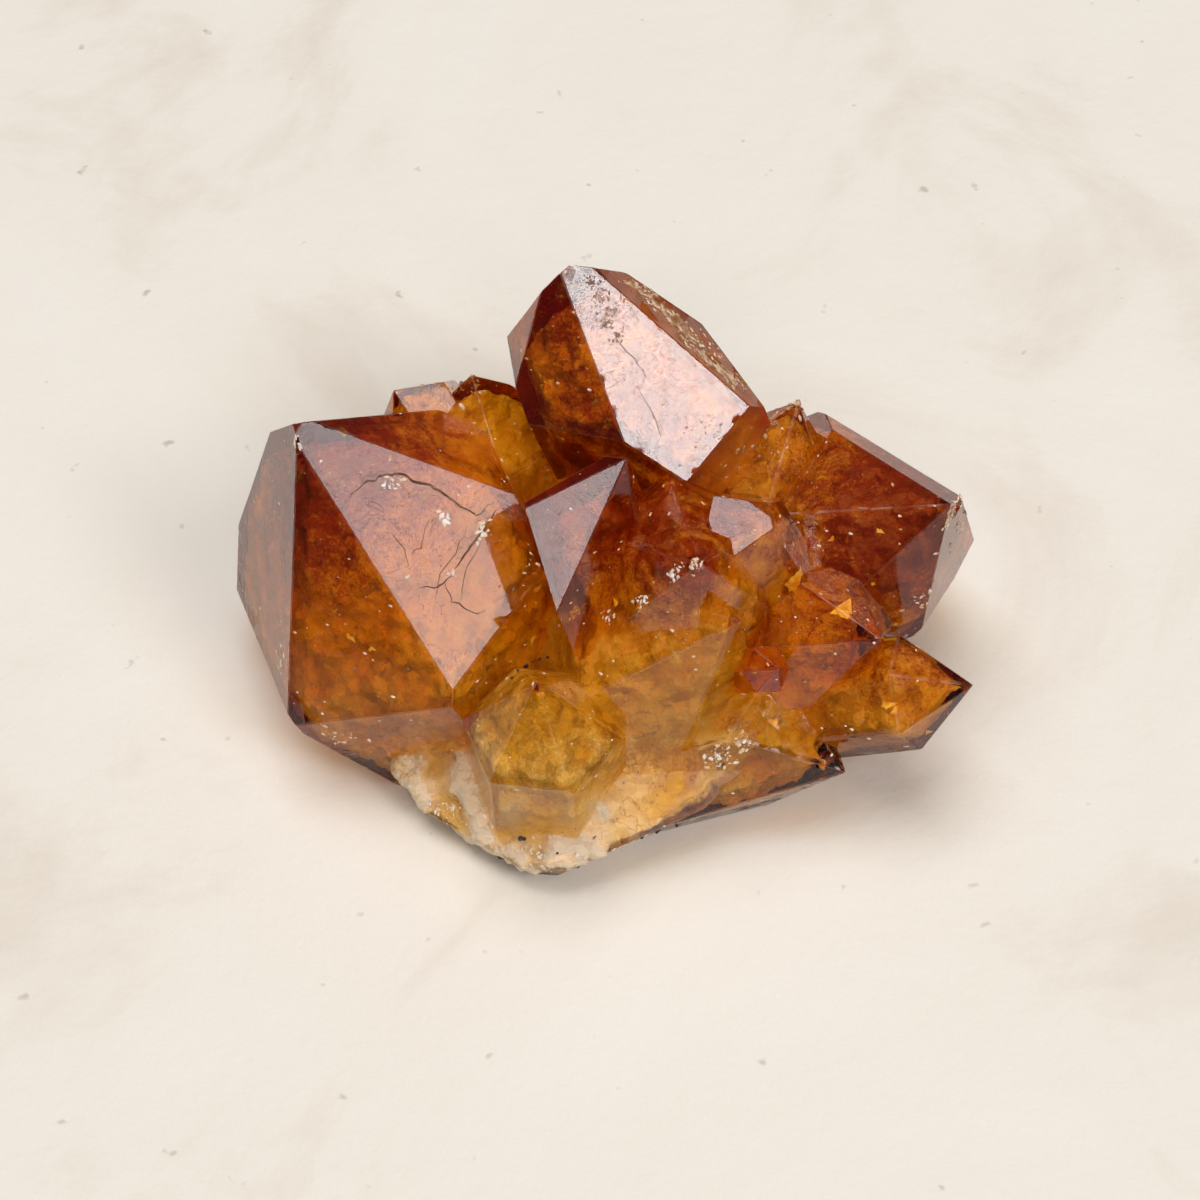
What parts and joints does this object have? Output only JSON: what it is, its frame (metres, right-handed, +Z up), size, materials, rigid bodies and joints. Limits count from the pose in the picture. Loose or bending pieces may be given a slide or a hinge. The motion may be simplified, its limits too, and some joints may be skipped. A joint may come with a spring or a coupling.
{
  "type": "citrine cluster",
  "caption": "Cluster of pointed six-sided quartz crystals grown together from one lump, resting on its flat broken base.",
  "frame": {"origin": "middle of the box around the cluster, at the height of the broken base it rests on", "axes": "+X to the right in the picture, along the longest side; +Y away from the camera; +Z up"},
  "size_m": [0.1054, 0.0826, 0.062],
  "materials": {
    "citrine": "clear to cloudy amber quartz, glassy faces, broken base"
  },
  "bodies": {
    "root": {"citrine_cluster": "citrine"}
  },
  "joints": []
}
